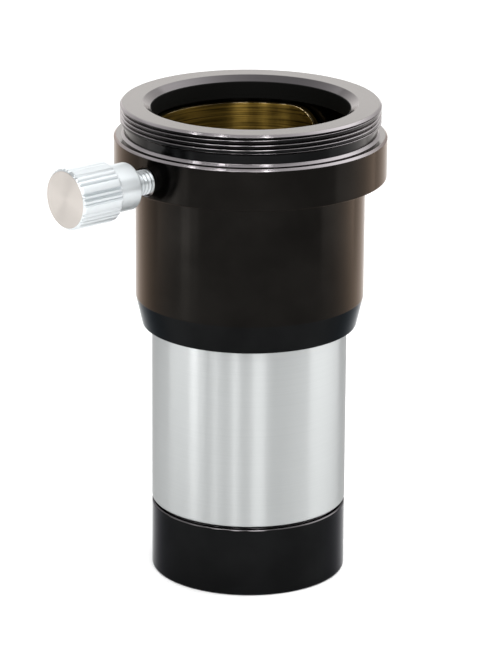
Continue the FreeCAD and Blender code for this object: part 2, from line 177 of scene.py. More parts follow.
class Number:
    """A value in a shader that takes Python's arithmetic; each operation adds its Math node."""

    def __init__(self, finish, socket):
        self.finish = finish
        self.socket = socket

    def math(self, operation, *others):
        sockets = dict(enumerate((self, *others)))
        node = self.finish.node("ShaderNodeMath", {"operation": operation}, sockets)
        return Number(self.finish, node.outputs[0])

    def reflected(self, operation, other):
        node = self.finish.node("ShaderNodeMath", {"operation": operation}, {0: other, 1: self})
        return Number(self.finish, node.outputs[0])

    def __add__(self, other):
        return self.math("ADD", other)

    def __radd__(self, other):
        return self.reflected("ADD", other)

    def __sub__(self, other):
        return self.math("SUBTRACT", other)

    def __rsub__(self, other):
        return self.reflected("SUBTRACT", other)

    def __mul__(self, other):
        return self.math("MULTIPLY", other)

    def __rmul__(self, other):
        return self.reflected("MULTIPLY", other)

    def __truediv__(self, other):
        return self.math("DIVIDE", other)

    def __pow__(self, other):
        return self.math("POWER", other)

    def __gt__(self, other):
        return self.math("GREATER_THAN", other)


class Shader:
    """A node tree, of a material or a world, while its nodes are laid."""

    def __init__(self, owner, output):
        owner.use_nodes = True
        self.tree = owner.node_tree
        self.tree.nodes.clear()
        self.output = self.node(output)

    def node(self, kind, settings=None, sockets=None):
        """One node: its settings first, then the values or links of its sockets."""
        node = self.tree.nodes.new(kind)
        for name, value in (settings or {}).items():
            if name == "stops":
                self.set_stops(node.color_ramp, value)
            else:
                setattr(node, name, value)
        for name, value in (sockets or {}).items():
            if isinstance(value, Number):
                value = value.socket
            if isinstance(value, bpy.types.NodeSocket):
                self.tree.links.new(value, node.inputs[name])
            else:
                node.inputs[name].default_value = value
        return node

    @staticmethod
    def set_stops(ramp, stops):
        for _ in range(len(stops) - len(ramp.elements)):
            ramp.elements.new(1.0)
        for element, (position, value) in zip(ramp.elements, stops):
            element.position = position
            element.color = (*value, 1.0) if hasattr(value, "__len__") else (value, value, value, 1.0)

    def surface(self, node):
        """Ends the tree with this node's shader."""
        self.tree.links.new(node.outputs[0], self.output.inputs["Surface"])


class Finish(Shader):
    """A procedural material, with the place on the piece at hand."""

    def __init__(self, name):
        self.material = bpy.data.materials.new(name)
        super().__init__(self.material, "ShaderNodeOutputMaterial")
        self.place = self.node("ShaderNodeTexCoord").outputs["Object"]
        self.x, self.y, self.z = self.parts(self.place)
        self.radius = (self.x * self.x + self.y * self.y) ** 0.5

    def parts(self, vector):
        """A vector's three numbers."""
        outputs = self.node("ShaderNodeSeparateXYZ", sockets={0: vector}).outputs
        return [Number(self, output) for output in outputs]

    def facing(self):
        """The surface's normal: its three numbers."""
        return self.parts(self.node("ShaderNodeNewGeometry").outputs["Normal"])

    def ramp(self, value, *stops):
        """A smooth reading of a value: 0 and 1 or colours at the stops."""
        node = self.node("ShaderNodeValToRGB", {"stops": stops}, {"Fac": value})
        return Number(self, node.outputs["Color"])

    def lines(self, width, run, detail=2.0, roughness=0.5):
        """Turning marks: noise that is fine up and out from the axis and runs on round it."""
        rise = self.z + self.radius * 1.31
        place = self.node(
            "ShaderNodeCombineXYZ", sockets={0: self.x / run, 1: self.y / run, 2: rise / width}
        )
        node = self.node(
            "ShaderNodeTexNoise",
            {"noise_dimensions": "3D"},
            {"Vector": place.outputs[0], "Scale": 1.0, "Detail": detail, "Roughness": roughness},
        )
        return Number(self, node.outputs["Fac"])

    def grain(self, size, detail=2.0):
        """Even noise with grains of one size."""
        node = self.node(
            "ShaderNodeTexNoise",
            {"noise_dimensions": "3D"},
            {"Vector": self.place, "Scale": 1.0 / size, "Detail": detail},
        )
        return Number(self, node.outputs["Fac"])

    def mix(self, factor, first, second):
        """A colour between two colours."""
        first, second = (
            colour if isinstance(colour, bpy.types.NodeSocket) else opaque(colour)
            for colour in (first, second)
        )
        node = self.node("ShaderNodeMix", {"data_type": "RGBA"}, {0: factor, 6: first, 7: second})
        return node.outputs[2]

    def bump(self, height, depth, strength):
        """Surface relief: depth in metres for a height from 0 to 1."""
        node = self.node(
            "ShaderNodeBump", sockets={"Height": height, "Distance": depth, "Strength": strength}
        )
        return node.outputs["Normal"]

    def principled(self, **sockets):
        """The surface shader; underscores stand for the spaces in its sockets' names."""
        shader = self.node(
            "ShaderNodeBsdfPrincipled",
            sockets={name.replace("_", " "): value for name, value in sockets.items()},
        )
        self.surface(shader)
        return self.material


def opaque(colour):
    """A colour with the alpha that a shader's socket wants."""
    return (*colour, 1.0)


class Thread:
    """V grooves that climb a turned wall as one right-handed helix and fade out at both ends."""

    FADE = 0.5  # share of a turn over which a groove fades
    HALF_WIDTH = 0.44  # of a groove, as a share of the pitch
    # a flank from crest to root, as shares of the half width and of the depth
    FLANK = ((1.0, 0.0), (0.86, 0.03), (0.72, 0.13), (0.11, 1.0))

    def __init__(self, crest, root, start, pitch, turns, rising=True):
        self.crest = crest
        self.root = root
        self.start = start
        self.pitch = pitch
        self.turns = turns
        self.rising = rising
        self.half = self.HALF_WIDTH * pitch

    @property
    def first(self):
        return (self.crest, self.start if self.rising else self.end)

    @property
    def last(self):
        return (self.crest, self.end if self.rising else self.start)

    @property
    def end(self):
        return self.start + (self.turns + self.FADE) * self.pitch

    def section(self, turned):
        """Its corners as (radius, height), where turned is the share of a turn."""
        corners = [(self.crest, self.start)]
        for groove in range(self.turns + 1):
            depth = 1.0
            if groove == 0:
                depth = min(1.0, turned / self.FADE)
            if groove == self.turns:
                depth = max(0.0, 1.0 - turned / self.FADE)
            middle = min(self.start + (groove + turned) * self.pitch, self.end)
            flank = [
                (self.crest + (self.root - self.crest) * deep * depth, self.half * wide * depth)
                for wide, deep in self.FLANK
            ]
            corners += [(radius, middle - away) for radius, away in flank]
            corners += [(radius, middle + away) for radius, away in reversed(flank)]
        corners.append((self.crest, self.end))
        return corners if self.rising else corners[::-1]


def rounded(before, corner, after, radius):
    """The points that replace a corner by an arc, with one more beside each end to keep flats flat."""
    steps, guard = 3, 0.12 * MM
    longest = 0.42  # of each side, so that neighbouring arcs stay apart
    corner, before, after = Vector(corner), Vector(before), Vector(after)
    back, on = before - corner, after - corner
    if radius <= 0.0 or min(back.length, on.length) < 1e-7:
        return [corner]
    spread = back.angle(on)
    if spread > math.radians(176.0):
        return [corner]
    reach = min(radius / math.tan(spread / 2.0), longest * back.length, longest * on.length)
    back_way, on_way = back.normalized(), on.normalized()
    start, end = corner + back_way * reach, corner + on_way * reach
    depth = reach * math.tan(spread / 2.0) / math.sin(spread / 2.0)
    centre = corner + (back_way + on_way).normalized() * depth
    arm = start - centre
    sweep = arm.angle_signed(end - centre)
    arc = [centre + Matrix.Rotation(-sweep * step / steps, 2) @ arm for step in range(steps + 1)]
    if back.length > reach + 3.0 * guard:
        arc.insert(0, start + back_way * guard)
    if on.length > reach + 3.0 * guard:
        arc.append(end + on_way * guard)
    return arc


def turned_section(outline, edge):
    """A function of the turned share that gives the outline with its corners rounded.
    An outline holds corners, (radius, height) or (radius, height, rounding), and Threads."""
    pieces = []
    for number, item in enumerate(outline):
        if isinstance(item, Thread):
            pieces.append(item)
            continue
        before = outline[number - 1]
        after = outline[(number + 1) % len(outline)]
        before = before.last if isinstance(before, Thread) else before[:2]
        after = after.first if isinstance(after, Thread) else after[:2]
        radius = item[2] if len(item) == 3 else edge
        pieces.append(rounded(before, item[:2], after, radius))

    def section(turned):
        points = []
        for piece in pieces:
            points += piece.section(turned) if isinstance(piece, Thread) else piece
        return points

    return section


def even_turn(segments):
    """Shares of a turn at even steps, from 0 to 1."""
    return [step / segments for step in range(segments + 1)]


def lathe(name, section, turns, closed=True, phase=0.0):
    """A mesh turned about Z: section gives the outline's points at each share of a turn.
    The turn starts at phase, a share too, which is where threads start and end."""
    mesh = bmesh.new()
    columns = []
    for turned in turns:
        turn = FULL_TURN * (turned + phase)
        sine, cosine = math.sin(turn), math.cos(turn)
        columns.append(
            [mesh.verts.new((point[0] * cosine, point[0] * sine, point[1])) for point in section(turned)]
        )
    for left, right in zip(columns, columns[1:]):
        join_rows(mesh, left, right, closed)
    return finished_mesh(name, mesh)


def join_rows(mesh, left, right, closed=False):
    """Faces between two rows of vertices, with one from the last to the first in closed rows."""
    count = len(left)
    for row in range(count if closed else count - 1):
        above = (row + 1) % count
        mesh.faces.new((left[row], right[row], right[above], left[above]))


def finished_mesh(name, mesh):
    """Merges the seams, turns the faces outwards and keeps sharp only the real edges."""
    bmesh.ops.remove_doubles(mesh, verts=mesh.verts, dist=2e-7)
    bmesh.ops.dissolve_degenerate(mesh, edges=mesh.edges, dist=1e-7)
    bmesh.ops.recalc_face_normals(mesh, faces=mesh.faces)
    data = bpy.data.meshes.new(name)
    mesh.to_mesh(data)
    mesh.free()
    smooth(data)
    piece = bpy.data.objects.new(name, data)
    bpy.context.scene.collection.objects.link(piece)
    return piece


def cut(piece, cutters):
    """Takes the cutters' shapes out of a piece and removes the cutters."""
    for cutter in cutters:
        modifier = piece.modifiers.new("cut", "BOOLEAN")
        modifier.operation = "DIFFERENCE"
        modifier.solver = "EXACT"
        modifier.object = cutter
    before = len(piece.data.polygons)
    settle(piece)
    if len(piece.data.polygons) == before:
        raise RuntimeError(f"the cut in {piece.name} took nothing away")
    for cutter in cutters:
        bpy.data.objects.remove(cutter)


def settle(piece):
    """Makes a piece's modifiers part of its mesh."""
    shaped = piece.evaluated_get(bpy.context.evaluated_depsgraph_get())
    data = bpy.data.meshes.new_from_object(shaped)
    piece.modifiers.clear()
    piece.data = data
    smooth(data)


def smooth(data):
    """Smooth shading on a mesh, except across its real edges."""
    data.polygons.foreach_set("use_smooth", [True] * len(data.polygons))
    data.set_sharp_from_angle(angle=SHARP_ANGLE)


def fit(piece, material, body, slot, *nodes):
    """Gives a finished piece its material and ties it to the frame."""
    piece.data.materials.clear()
    piece.data.materials.append(material)
    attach(piece, body)
    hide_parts(*nodes)


def dimmed(colour, share_kept):
    """A darker or lighter shade of a colour."""
    return tuple(share_kept * part for part in colour)


def along_screw(piece):
    """Lays a piece that was turned about Z along the thumbscrew, outwards."""
    piece.matrix_world = Matrix.Translation((0.0, 0.0, screw_height)) @ Matrix.Rotation(
        -math.pi / 2.0, 4, "Y"
    )


def black_anodise(name, mirror, edge, roughness, polish_and_painted_sheen):
    """Turned aluminium under a black anodised film: dark face on, bright at a glancing angle.
    The chamfers and crests that face up mirror more: partly burnish, partly a painted sheen where they face
    the light above."""
    finish = Finish(name)
    lines = finish.lines(0.10 * MM, 30.0 * MM, detail=3.0, roughness=0.6)
    patches = finish.grain(9.0 * MM, detail=3.0)
    pores = finish.grain(0.22 * MM, detail=2.0)
    dark = dimmed(mirror, 0.82)
    light = dimmed(mirror, 1.18)
    film = finish.mix(finish.ramp(patches, (0.35, 0.0), (0.65, 1.0)), dark, light)
    # painted sheen: slopes that face up, towards the overhead light, get the brighter mirror colour; a
    # third as much at radii under about 18 mm
    upward = finish.facing()[2]
    upward_sheen_mask = finish.ramp(upward, (0.28, 0.0), (0.42, 1.0), (0.86, 1.0), (0.97, 0.0))
    widest = 40.0 * MM  # the radius that the ramp reads as 1
    outer = finish.ramp(finish.radius / widest, (0.44, 0.36), (0.49, 1.0))
    return finish.principled(
        Base_Color=finish.mix(upward_sheen_mask * outer * (0.75 + 0.5 * lines), film, polish_and_painted_sheen),
        Metallic=1.0,
        Roughness=roughness * (0.86 + 0.20 * lines + 0.08 * pores),
        Specular_Tint=opaque(edge),
        Anisotropic=0.55,
        Anisotropic_Rotation=0.25,
        Normal=finish.bump(lines * 0.8 + pores * 0.2, 0.004 * MM, 0.6),
    )


def turned_aluminium(name, colour, edge, roughness, black, wall):
    """Bright turned aluminium outside, blackened inside the wall."""
    finish = Finish(name)
    lines = finish.lines(0.14 * MM, 60.0 * MM, detail=4.0, roughness=0.65)
    bands = finish.lines(1.8 * MM, 200.0 * MM, detail=1.0)
    patches = finish.grain(7.0 * MM, detail=2.0)
    outside = finish.radius > wall
    gloss = outside * roughness + (1.0 - outside) * 0.42
    shade = finish.mix(
        finish.ramp(lines, (0.25, 0.0), (0.75, 1.0)), dimmed(colour, 0.93), colour
    )
    return finish.principled(
        Base_Color=finish.mix(outside, black, shade),
        Metallic=1.0,
        Roughness=gloss * (0.85 + 0.18 * lines + 0.12 * patches),
        Specular_Tint=opaque(edge),
        Anisotropic=0.97,
        Anisotropic_Rotation=0.25,
        Normal=finish.bump(lines * 0.7 + bands * 0.3, 0.005 * MM, 0.5),
    )


def brushed_brass(name, colour, rim, roughness):
    """Brass that was brushed round its band, with duller and brighter streaks."""
    finish = Finish(name)
    lines = finish.lines(0.11 * MM, 5.0 * MM, detail=4.0, roughness=0.75)
    streaks = finish.lines(0.30 * MM, 14.0 * MM, detail=2.0)
    tarnish = finish.grain(3.0 * MM, detail=3.0)
    shade = finish.mix(
        finish.ramp(streaks * 0.6 + lines * 0.4, (0.41, 0.0), (0.59, 1.0)),
        dimmed(colour, 0.26),
        colour,
    )
    worn = dimmed((colour[0], 0.9 * colour[1], 0.8 * colour[2]), 0.55)
    band = finish.mix(finish.ramp(tarnish, (0.55, 0.0), (0.75, 0.6)), shade, worn)
    across, along, _ = finish.facing()
    outward = (across * finish.x + along * finish.y) / finish.radius
    flatness = outward * outward
    # painted shade: the ring's flat faces, its top and bottom and the ends at the gap, are made nearly
    # black for the shade in the groove
    shaded_flat_faces = dimmed(colour, 0.12)
    band = finish.mix(finish.ramp(flatness, (0.04, 1.0), (0.12, 0.0)), band, shaded_flat_faces)
    bevel = finish.ramp(flatness, (0.04, 0.0), (0.12, 1.0), (0.86, 1.0), (0.96, 0.0))
    return finish.principled(
        Base_Color=finish.mix(bevel, band, rim),
        Metallic=1.0,
        Roughness=roughness * (0.80 + 0.35 * lines + 0.10 * tarnish) * (1.0 - 0.6 * bevel),
        Anisotropic=0.9,
        Anisotropic_Rotation=0.25,
        Normal=finish.bump(lines * 0.7 + streaks * 0.3, 0.012 * MM, 0.6),
    )


def dull_lining_and_painted_shade(name, colour):
    """The unpolished black inside a bore, which scatters what little light gets in, made darker still as
    painted shade.
    """
    finish = Finish(name)
    lines = finish.lines(0.14 * MM, 12.0 * MM, detail=3.0)
    return finish.principled(
        Base_Color=finish.mix(lines, dimmed(colour, 0.6), colour),
        Metallic=0.0,
        Roughness=0.50 + 0.12 * lines,
        Specular_IOR_Level=0.08,
        Normal=finish.bump(lines, 0.004 * MM, 0.5),
    )


def bright_screw(name, colour, roughness):
    """Nickel-bright turned metal for the thumbscrew."""
    finish = Finish(name)
    lines = finish.lines(0.09 * MM, 20.0 * MM, detail=3.0, roughness=0.6)
    patches = finish.grain(1.6 * MM, detail=2.0)
    return finish.principled(
        Base_Color=finish.mix(lines, dimmed(colour, 0.94), colour),
        Metallic=1.0,
        Roughness=roughness * (0.80 + 0.30 * lines + 0.10 * patches),
        Anisotropic=0.92,
        Anisotropic_Rotation=0.25,
        Normal=finish.bump(lines, 0.003 * MM, 0.5),
    )


def coated_glass(name, colour, rim):
    """Clear glass with a coating's sheen, and a ground and blackened edge outside the rim."""
    finish = Finish(name)
    ground = finish.ramp(finish.radius / rim, (0.985, 0.0), (1.0, 1.0))
    dust = finish.grain(0.35 * MM, detail=4.0)
    smear = finish.grain(6.0 * MM, detail=3.0)
    clear = finish.node(
        "ShaderNodeBsdfPrincipled",
        sockets={
            "Base Color": finish.mix(smear, dimmed(colour, 0.97), colour),
            "Roughness": 0.015 + 0.03 * finish.ramp(dust, (0.62, 0.0), (0.80, 1.0)),
            "IOR": 1.52,
            "Transmission Weight": 1.0,
            "Coat Weight": 0.35,
            "Coat Roughness": 0.03,
            "Coat Tint": (0.62, 0.80, 0.95, 1.0),
        },
    )
    black = finish.node(
        "ShaderNodeBsdfPrincipled",
        sockets={
            "Base Color": (0.012, 0.012, 0.012, 1.0),
            "Roughness": 0.55 + 0.2 * dust,
            "Normal": finish.bump(dust, 0.01 * MM, 0.5),
        },
    )
    mixed = finish.node(
        "ShaderNodeMixShader", sockets={0: ground, 1: clear.outputs[0], 2: black.outputs[0]}
    )
    finish.surface(mixed)
    return finish.material


def pale_floor(name):
    """White card with a faint tooth."""
    finish = Finish(name)
    tooth = finish.grain(1.2 * MM, detail=3.0)
    return finish.principled(
        Base_Color=finish.mix(tooth, (0.90, 0.90, 0.90), (0.93, 0.93, 0.93)),
        Roughness=0.75 + 0.1 * tooth,
        Specular_IOR_Level=0.2,
        Emission_Color=(1.0, 1.0, 1.0, 1.0),
        Emission_Strength=0.1,
    )


def studio_sky(name, base, glows):
    """White surroundings with soft glows: each has an azimuth, an elevation, a tightness and a radiance."""
    world = bpy.data.worlds.new(name)
    sky = Shader(world, "ShaderNodeOutputWorld")
    towards = sky.node("ShaderNodeTexCoord").outputs["Generated"]
    light = base
    for azimuth, elevation, tightness, radiance in glows:
        level = math.cos(elevation)
        axis = (level * math.cos(azimuth), level * math.sin(azimuth), math.sin(elevation))
        facing = sky.node("ShaderNodeVectorMath", {"operation": "DOT_PRODUCT"}, {0: towards, 1: axis})
        light = light + Number(sky, facing.outputs["Value"]).math("MAXIMUM", 0.0) ** tightness * radiance
    sky.surface(sky.node("ShaderNodeBackground", sockets={"Strength": light}))
    return world


def holder_outline(sizes):
    """The holder's section, from the joint with the barrel out, up and back down the socket."""
    foot, top = holder_low.z, holder_high.z
    tube, collar, socket = sizes.holder_radius, sizes.collar_radius, sizes.socket_radius
    joint = barrel_high.x - 0.825 * MM
    light = barrel_high.x - 2.275 * MM
    floor = barrel_high.z + 1.62 * MM
    lip = floor - 1.4 * MM
    mouth = sizes.mouth_radius
    relief = mouth - 0.6 * MM
    fillet, chamfer = 0.4 * MM, 0.35 * MM
    thread_foot = top - 3.36 * MM
    groove, ceiling, ledge = ring_high.y + 0.4 * MM, ring_high.z + 0.75 * MM, ring_low.z - 0.05 * MM
    return [
        (joint, foot, EDGE),
        (sizes.holder_foot_radius, foot),
        (tube, foot + sizes.holder_cone, 0.5 * MM),
        (tube, sizes.collar_foot, EDGE),
        (collar, sizes.collar_foot),
        (collar, sizes.collar_top - chamfer, EDGE),
        (collar - chamfer, sizes.collar_top, EDGE),
        (relief + fillet, sizes.collar_top, EDGE),
        (relief, sizes.collar_top + fillet, EDGE),
        (relief, thread_foot, EDGE),
        (mouth, thread_foot + sizes.mouth_pitch / 2.0, EDGE),
        Thread(mouth, mouth - 0.46 * MM, top - 2.98 * MM, sizes.mouth_pitch, 3),
        (mouth, top - chamfer, EDGE),
        (mouth - chamfer, top, EDGE),
        (socket + 1.35 * MM, top, EDGE),
        (socket, top - 0.93 * MM, EDGE),
        (socket, ceiling, EDGE),
        (groove, ceiling, EDGE),
        (groove, ledge, EDGE),
        (socket, ledge, EDGE),
        (socket, floor, EDGE),
        (light, floor, EDGE),
        (light, lip, EDGE),
        (joint, lip, EDGE),
    ]


def barrel_outline():
    """The nosepiece's section, with the cell's thread inside its foot and the joint above."""
    radius = barrel_high.x
    bore = radius - 1.575 * MM
    joint = radius - 0.875 * MM
    light = radius - 2.275 * MM
    relief = cell_high.z + 0.6 * MM
    return [
        (bore, barrel_low.z, EDGE),
        (radius, barrel_low.z, 0.3 * MM),
        (radius, holder_low.z, EDGE),
        (joint, holder_low.z, EDGE),
        Thread(joint, joint - 0.5 * MM, holder_low.z + 0.55 * MM, 1.0 * MM, 3),
        (joint, barrel_high.z, EDGE),
        (light, barrel_high.z, EDGE),
        (light, relief, EDGE),
        (bore, relief, EDGE),
        Thread(bore, bore + 0.3 * MM, barrel_low.z + 0.3 * MM, 0.6 * MM, 6, rising=False),
    ]


def cell_outline():
    """The lens cell's section, with the filter thread below and the thread for the barrel above."""
    radius = cell_high.x
    filter_bore = radius - 1.945 * MM
    groove = radius - 0.675 * MM
    male = radius - 1.625 * MM
    retainer_bore = male - 1.3 * MM
    seat, under_seat = lens_low.z, lens_low.z - 1.0 * MM
    opening = lens_high.x - 0.9 * MM
    glass = lens_high.x + 0.05 * MM
    step = flint_high.z - 0.4 * MM
    top = barrel_low.z - 0.45 * MM
    return [
        (filter_bore + 0.4 * MM, 0.0, EDGE),
        (radius, 0.0, 0.35 * MM),
        (radius, top, 0.35 * MM),
        (groove, top, EDGE),
        (groove, barrel_low.z, EDGE),
        (male, barrel_low.z, EDGE),
        Thread(male, male - 0.3 * MM, barrel_low.z + 0.35 * MM, 0.6 * MM, 5),
        (male, cell_high.z, 0.2 * MM),
        (retainer_bore, cell_high.z, EDGE),
        (retainer_bore, step, EDGE),
        (glass, step, EDGE),
        (glass, seat, EDGE),
        (opening, seat, EDGE),
        (opening, under_seat, EDGE),
        (filter_bore, under_seat, EDGE),
        Thread(filter_bore, filter_bore + 0.3 * MM, 0.55 * MM, 0.6 * MM, 5, rising=False),
        (filter_bore, 0.4 * MM, EDGE),
    ]


def hollow(rim_height, reach, curve, way):
    """Points on a lens face from its rim to the axis, as (radius, height); way is 1 up or -1 down."""
    steps = 24
    rise = curve - math.sqrt(curve * curve - reach * reach)
    points = []
    for step in range(steps + 1):
        radius = reach * (1.0 - step / steps)
        sag = rise - (curve - math.sqrt(curve * curve - radius * radius))
        points.append((radius, rim_height + way * sag))
    return points


def split_ring(name, gap):
    """A thin band that is open towards +X, with fully rounded ends and softened rims."""
    inside, outside = 16.05 * MM, ring_high.y
    rows, columns = 28, 200
    middle, half = (ring_low.z + ring_high.z) / 2.0, (ring_high.z - ring_low.z) / 2.0
    mesh = bmesh.new()

    def row_of_vertices(radius, row):
        swing = math.pi * (row / rows - 0.5)
        opening = gap / 2.0 + half * (1.0 - math.cos(swing))
        start = math.asin(opening / radius)
        height = middle + half * math.sin(swing)
        turns = [start + (FULL_TURN - 2.0 * start) * column / columns for column in range(columns + 1)]
        return [
            mesh.verts.new((radius * math.cos(turn), radius * math.sin(turn), height)) for turn in turns
        ]

    inner, outer = (
        [row_of_vertices(radius, row) for row in range(rows + 1)] for radius in (inside, outside)
    )
    for wall in (inner, outer):
        for lower, upper in zip(wall, wall[1:]):
            join_rows(mesh, lower, upper)
    for row in (0, rows):
        join_rows(mesh, inner[row], outer[row])
    for column in (0, columns):
        join_rows(mesh, [row[column] for row in inner], [row[column] for row in outer])
    return finished_mesh(name, mesh)


def grip_turns(groups, half_width):
    """Shares of a turn with a column on each side, flank and root of every groove."""
    even, closest = 180, 0.0004
    shares = {round(step / even, 6) for step in range(even)}
    for middle in groove_middles(groups):
        for part in (-1.0, -0.55, 0.0, 0.55, 1.0):
            shares.add(round((middle + part * half_width) % 1.0, 6))
    ordered = sorted(shares)
    kept = [ordered[0]]
    for turned in ordered[1:]:
        if turned - kept[-1] > closest:
            kept.append(turned)
    return kept + [kept[0] + 1.0]


def groove_middles(groups):
    """Where the grip's grooves lie, in threes, as shares of a turn."""
    return [
        (group + place * 0.25) / groups % 1.0 for group in range(groups) for place in (-1.0, 0.0, 1.0)
    ]


def grip_section(sizes, outline, shoulder, half_width):
    """The thumbscrew's outline, with its grip cut down to the shoulder's side where a groove passes."""
    plain = turned_section(outline, 0.08 * MM)
    middles = groove_middles(sizes.grip_groups)

    def section(turned):
        away = min(abs((turned - middle + 0.5) % 1.0 - 0.5) for middle in middles)
        depth = sizes.grip_groove * max(0.0, 1.0 - (away / half_width) ** 1.5)
        limit = sizes.grip_radius - depth
        return [(min(r, limit) if r > shoulder else r, z) for r, z in plain(turned)]

    return section


class EXTENDER_OT_holder(bpy.types.Operator):
    """Turns the black eyepiece holder with its collar and camera thread"""

    bl_idname = "extender.holder"
    bl_label = "Eyepiece holder"

    def execute(self, context):
        sizes, finishes = context.scene.extender_sizes, context.scene.extender_finishes
        section = turned_section(holder_outline(sizes), sizes.edge_radius)
        thread_start = 0.53
        holder = lathe("holder", section, even_turn(360), phase=thread_start)
        bore, deep, shallow = 2.05 * MM, 15.0 * MM, sizes.collar_radius - 0.4 * MM
        clear = sizes.collar_radius + 1.0 * MM
        drill = [
            (0.0, deep),
            (bore, deep),
            (bore, shallow),
            (bore + clear - shallow, clear),
            (0.0, clear),
        ]
        hole = lathe("screw_hole", turned_section(drill, 0.0), even_turn(64), closed=False)
        along_screw(hole)
        cut(holder, [hole])
        tube, foot, mouth = (
            black_anodise(name, mirror, edge, finishes.black_roughness, finishes.burnish_and_painted_sheen)
            for name, mirror, edge in (
                ("tube_anodise", finishes.black, finishes.black_edge),
                # painted shade: the foot is the tube's anodise with its glancing reflections dimmed
                ("foot_anodise", finishes.plain_black, finishes.foot_shaded_edge),
                ("mouth_anodise", finishes.plain_black, finishes.mouth_edge),
            )
        )
        fit(holder, tube, "holder", "black_anodised", "eyepiece_holder")
        # the socket's bore gets the dull black lining, darkened as painted shade
        for material in (foot, mouth, dull_lining_and_painted_shade("socket_lining", finishes.lining_and_shade)):
            holder.data.materials.append(material)
        foot_slot, mouth_slot, lining_and_shade_slot = 1, 2, 3
        for face in holder.data.polygons:
            if face.center.z < holder_low.z + sizes.holder_cone - 0.1 * MM:
                face.material_index = foot_slot
            elif face.center.xy.length < sizes.socket_radius + 0.1 * MM:
                face.material_index = lining_and_shade_slot
            elif face.center.z > sizes.collar_top - 0.01 * MM:
                face.material_index = mouth_slot
        return {"FINISHED"}


class EXTENDER_OT_barrel(bpy.types.Operator):
    """Turns the bright nosepiece that slides into a focuser"""

    bl_idname = "extender.barrel"
    bl_label = "Nosepiece"

    def execute(self, context):
        sizes, finishes = context.scene.extender_sizes, context.scene.extender_finishes
        barrel = lathe("nosepiece", turned_section(barrel_outline(), sizes.edge_radius), even_turn(360))
        metal = turned_aluminium(
            "turned_aluminium",
            finishes.bright,
            finishes.bright_edge,
            finishes.bright_roughness,
            finishes.plain_black,
            barrel_high.x - 0.6 * MM,
        )
        fit(barrel, metal, "holder", "turned_aluminium", "barrel")
        return {"FINISHED"}


class EXTENDER_OT_cell(bpy.types.Operator):
    """Turns the lens cell and the slotted ring that holds the glass in it"""

    bl_idname = "extender.cell"
    bl_label = "Lens cell"

    def execute(self, context):
        sizes, finishes = context.scene.extender_sizes, context.scene.extender_finishes
        # the cell's glancing reflections are dimmed as painted shade
        black = black_anodise(
            "cell_anodise",
            finishes.plain_black,
            finishes.cell_shaded_edge,
            finishes.black_roughness,
            finishes.burnish_and_painted_sheen,
        )
        cell = lathe("cell", turned_section(cell_outline(), sizes.edge_radius), even_turn(360))
        fit(cell, black, "cell", "black_anodised", "lens_cell")
        inner, outer = retainer_high.x - 1.4 * MM, retainer_high.x
        foot, top = retainer_low.z, retainer_high.z
        ring = lathe(
            "lens_retainer",
            turned_section([(inner, foot), (outer, foot), (outer, top), (inner, top)], 0.1 * MM),
            even_turn(240),
        )
        half_diagonal, end = 0.75 * math.sqrt(2.0) * MM, outer + MM
        bar = [(0.0, -end), (half_diagonal, -end), (half_diagonal, end), (0.0, end)]
        corners = [0.125, 0.375, 0.625, 0.875, 1.125]
        slot = lathe("spanner_slot", turned_section(bar, 0.0), corners, closed=False)
        slot.matrix_world = Matrix.Translation((0.0, 0.0, top + 0.05 * MM)) @ Matrix.Rotation(
            math.pi / 2.0, 4, "Y"
        )
        cut(ring, [slot])
        fit(ring, black, "cell", "black_anodised", "retaining_ring")
        return {"FINISHED"}


class EXTENDER_OT_lenses(bpy.types.Operator):
    """Grinds the two cemented lenses"""

    bl_idname = "extender.lenses"
    bl_label = "Lenses"

    def execute(self, context):
        sizes, finishes = context.scene.extender_sizes, context.scene.extender_finishes
        rim, curve = lens_high.x, sizes.glass_curve
        face = rim - 0.8 * MM
        glass = coated_glass("coated_glass", finishes.coating, rim)
        lower = hollow(lens_low.z, face, curve, 1.0)
        upper = hollow(lens_high.z, face, curve, -1.0)
        crown = [*lower[::-1], (rim, lens_low.z), (rim, lens_high.z), *upper]
        flint = [*upper[::-1], (rim, flint_low.z + 1e-6), (rim, flint_high.z), (0.0, flint_high.z)]
        for name, outline, node in (
            ("crown_lens", crown, "negative_element"),
            ("flint_lens", flint, "positive_element"),
        ):
            lens = lathe(name, lambda turned: outline, even_turn(160), closed=False)
            fit(lens, glass, "lenses", "lens_glass", node)
        return {"FINISHED"}


class EXTENDER_OT_clamp_ring(bpy.types.Operator):
    """Bends the split brass ring that grips the eyepiece"""

    bl_idname = "extender.clamp_ring"
    bl_label = "Clamping ring"

    def execute(self, context):
        sizes, finishes = context.scene.extender_sizes, context.scene.extender_finishes
        ring = split_ring("brass_band", sizes.brass_gap)
        rounding = ring.modifiers.new("rounded_rims", "BEVEL")
        rounding.width = 0.26 * MM
        rounding.segments = 2
        rounding.limit_method = "ANGLE"
        rounding.angle_limit = math.radians(50.0)
        settle(ring)
        brass = brushed_brass(
            "brushed_brass", finishes.brass, finishes.brass_rim, finishes.brass_roughness
        )
        fit(ring, brass, "clamp_ring", "brushed_brass", "compression_ring")
        return {"FINISHED"}


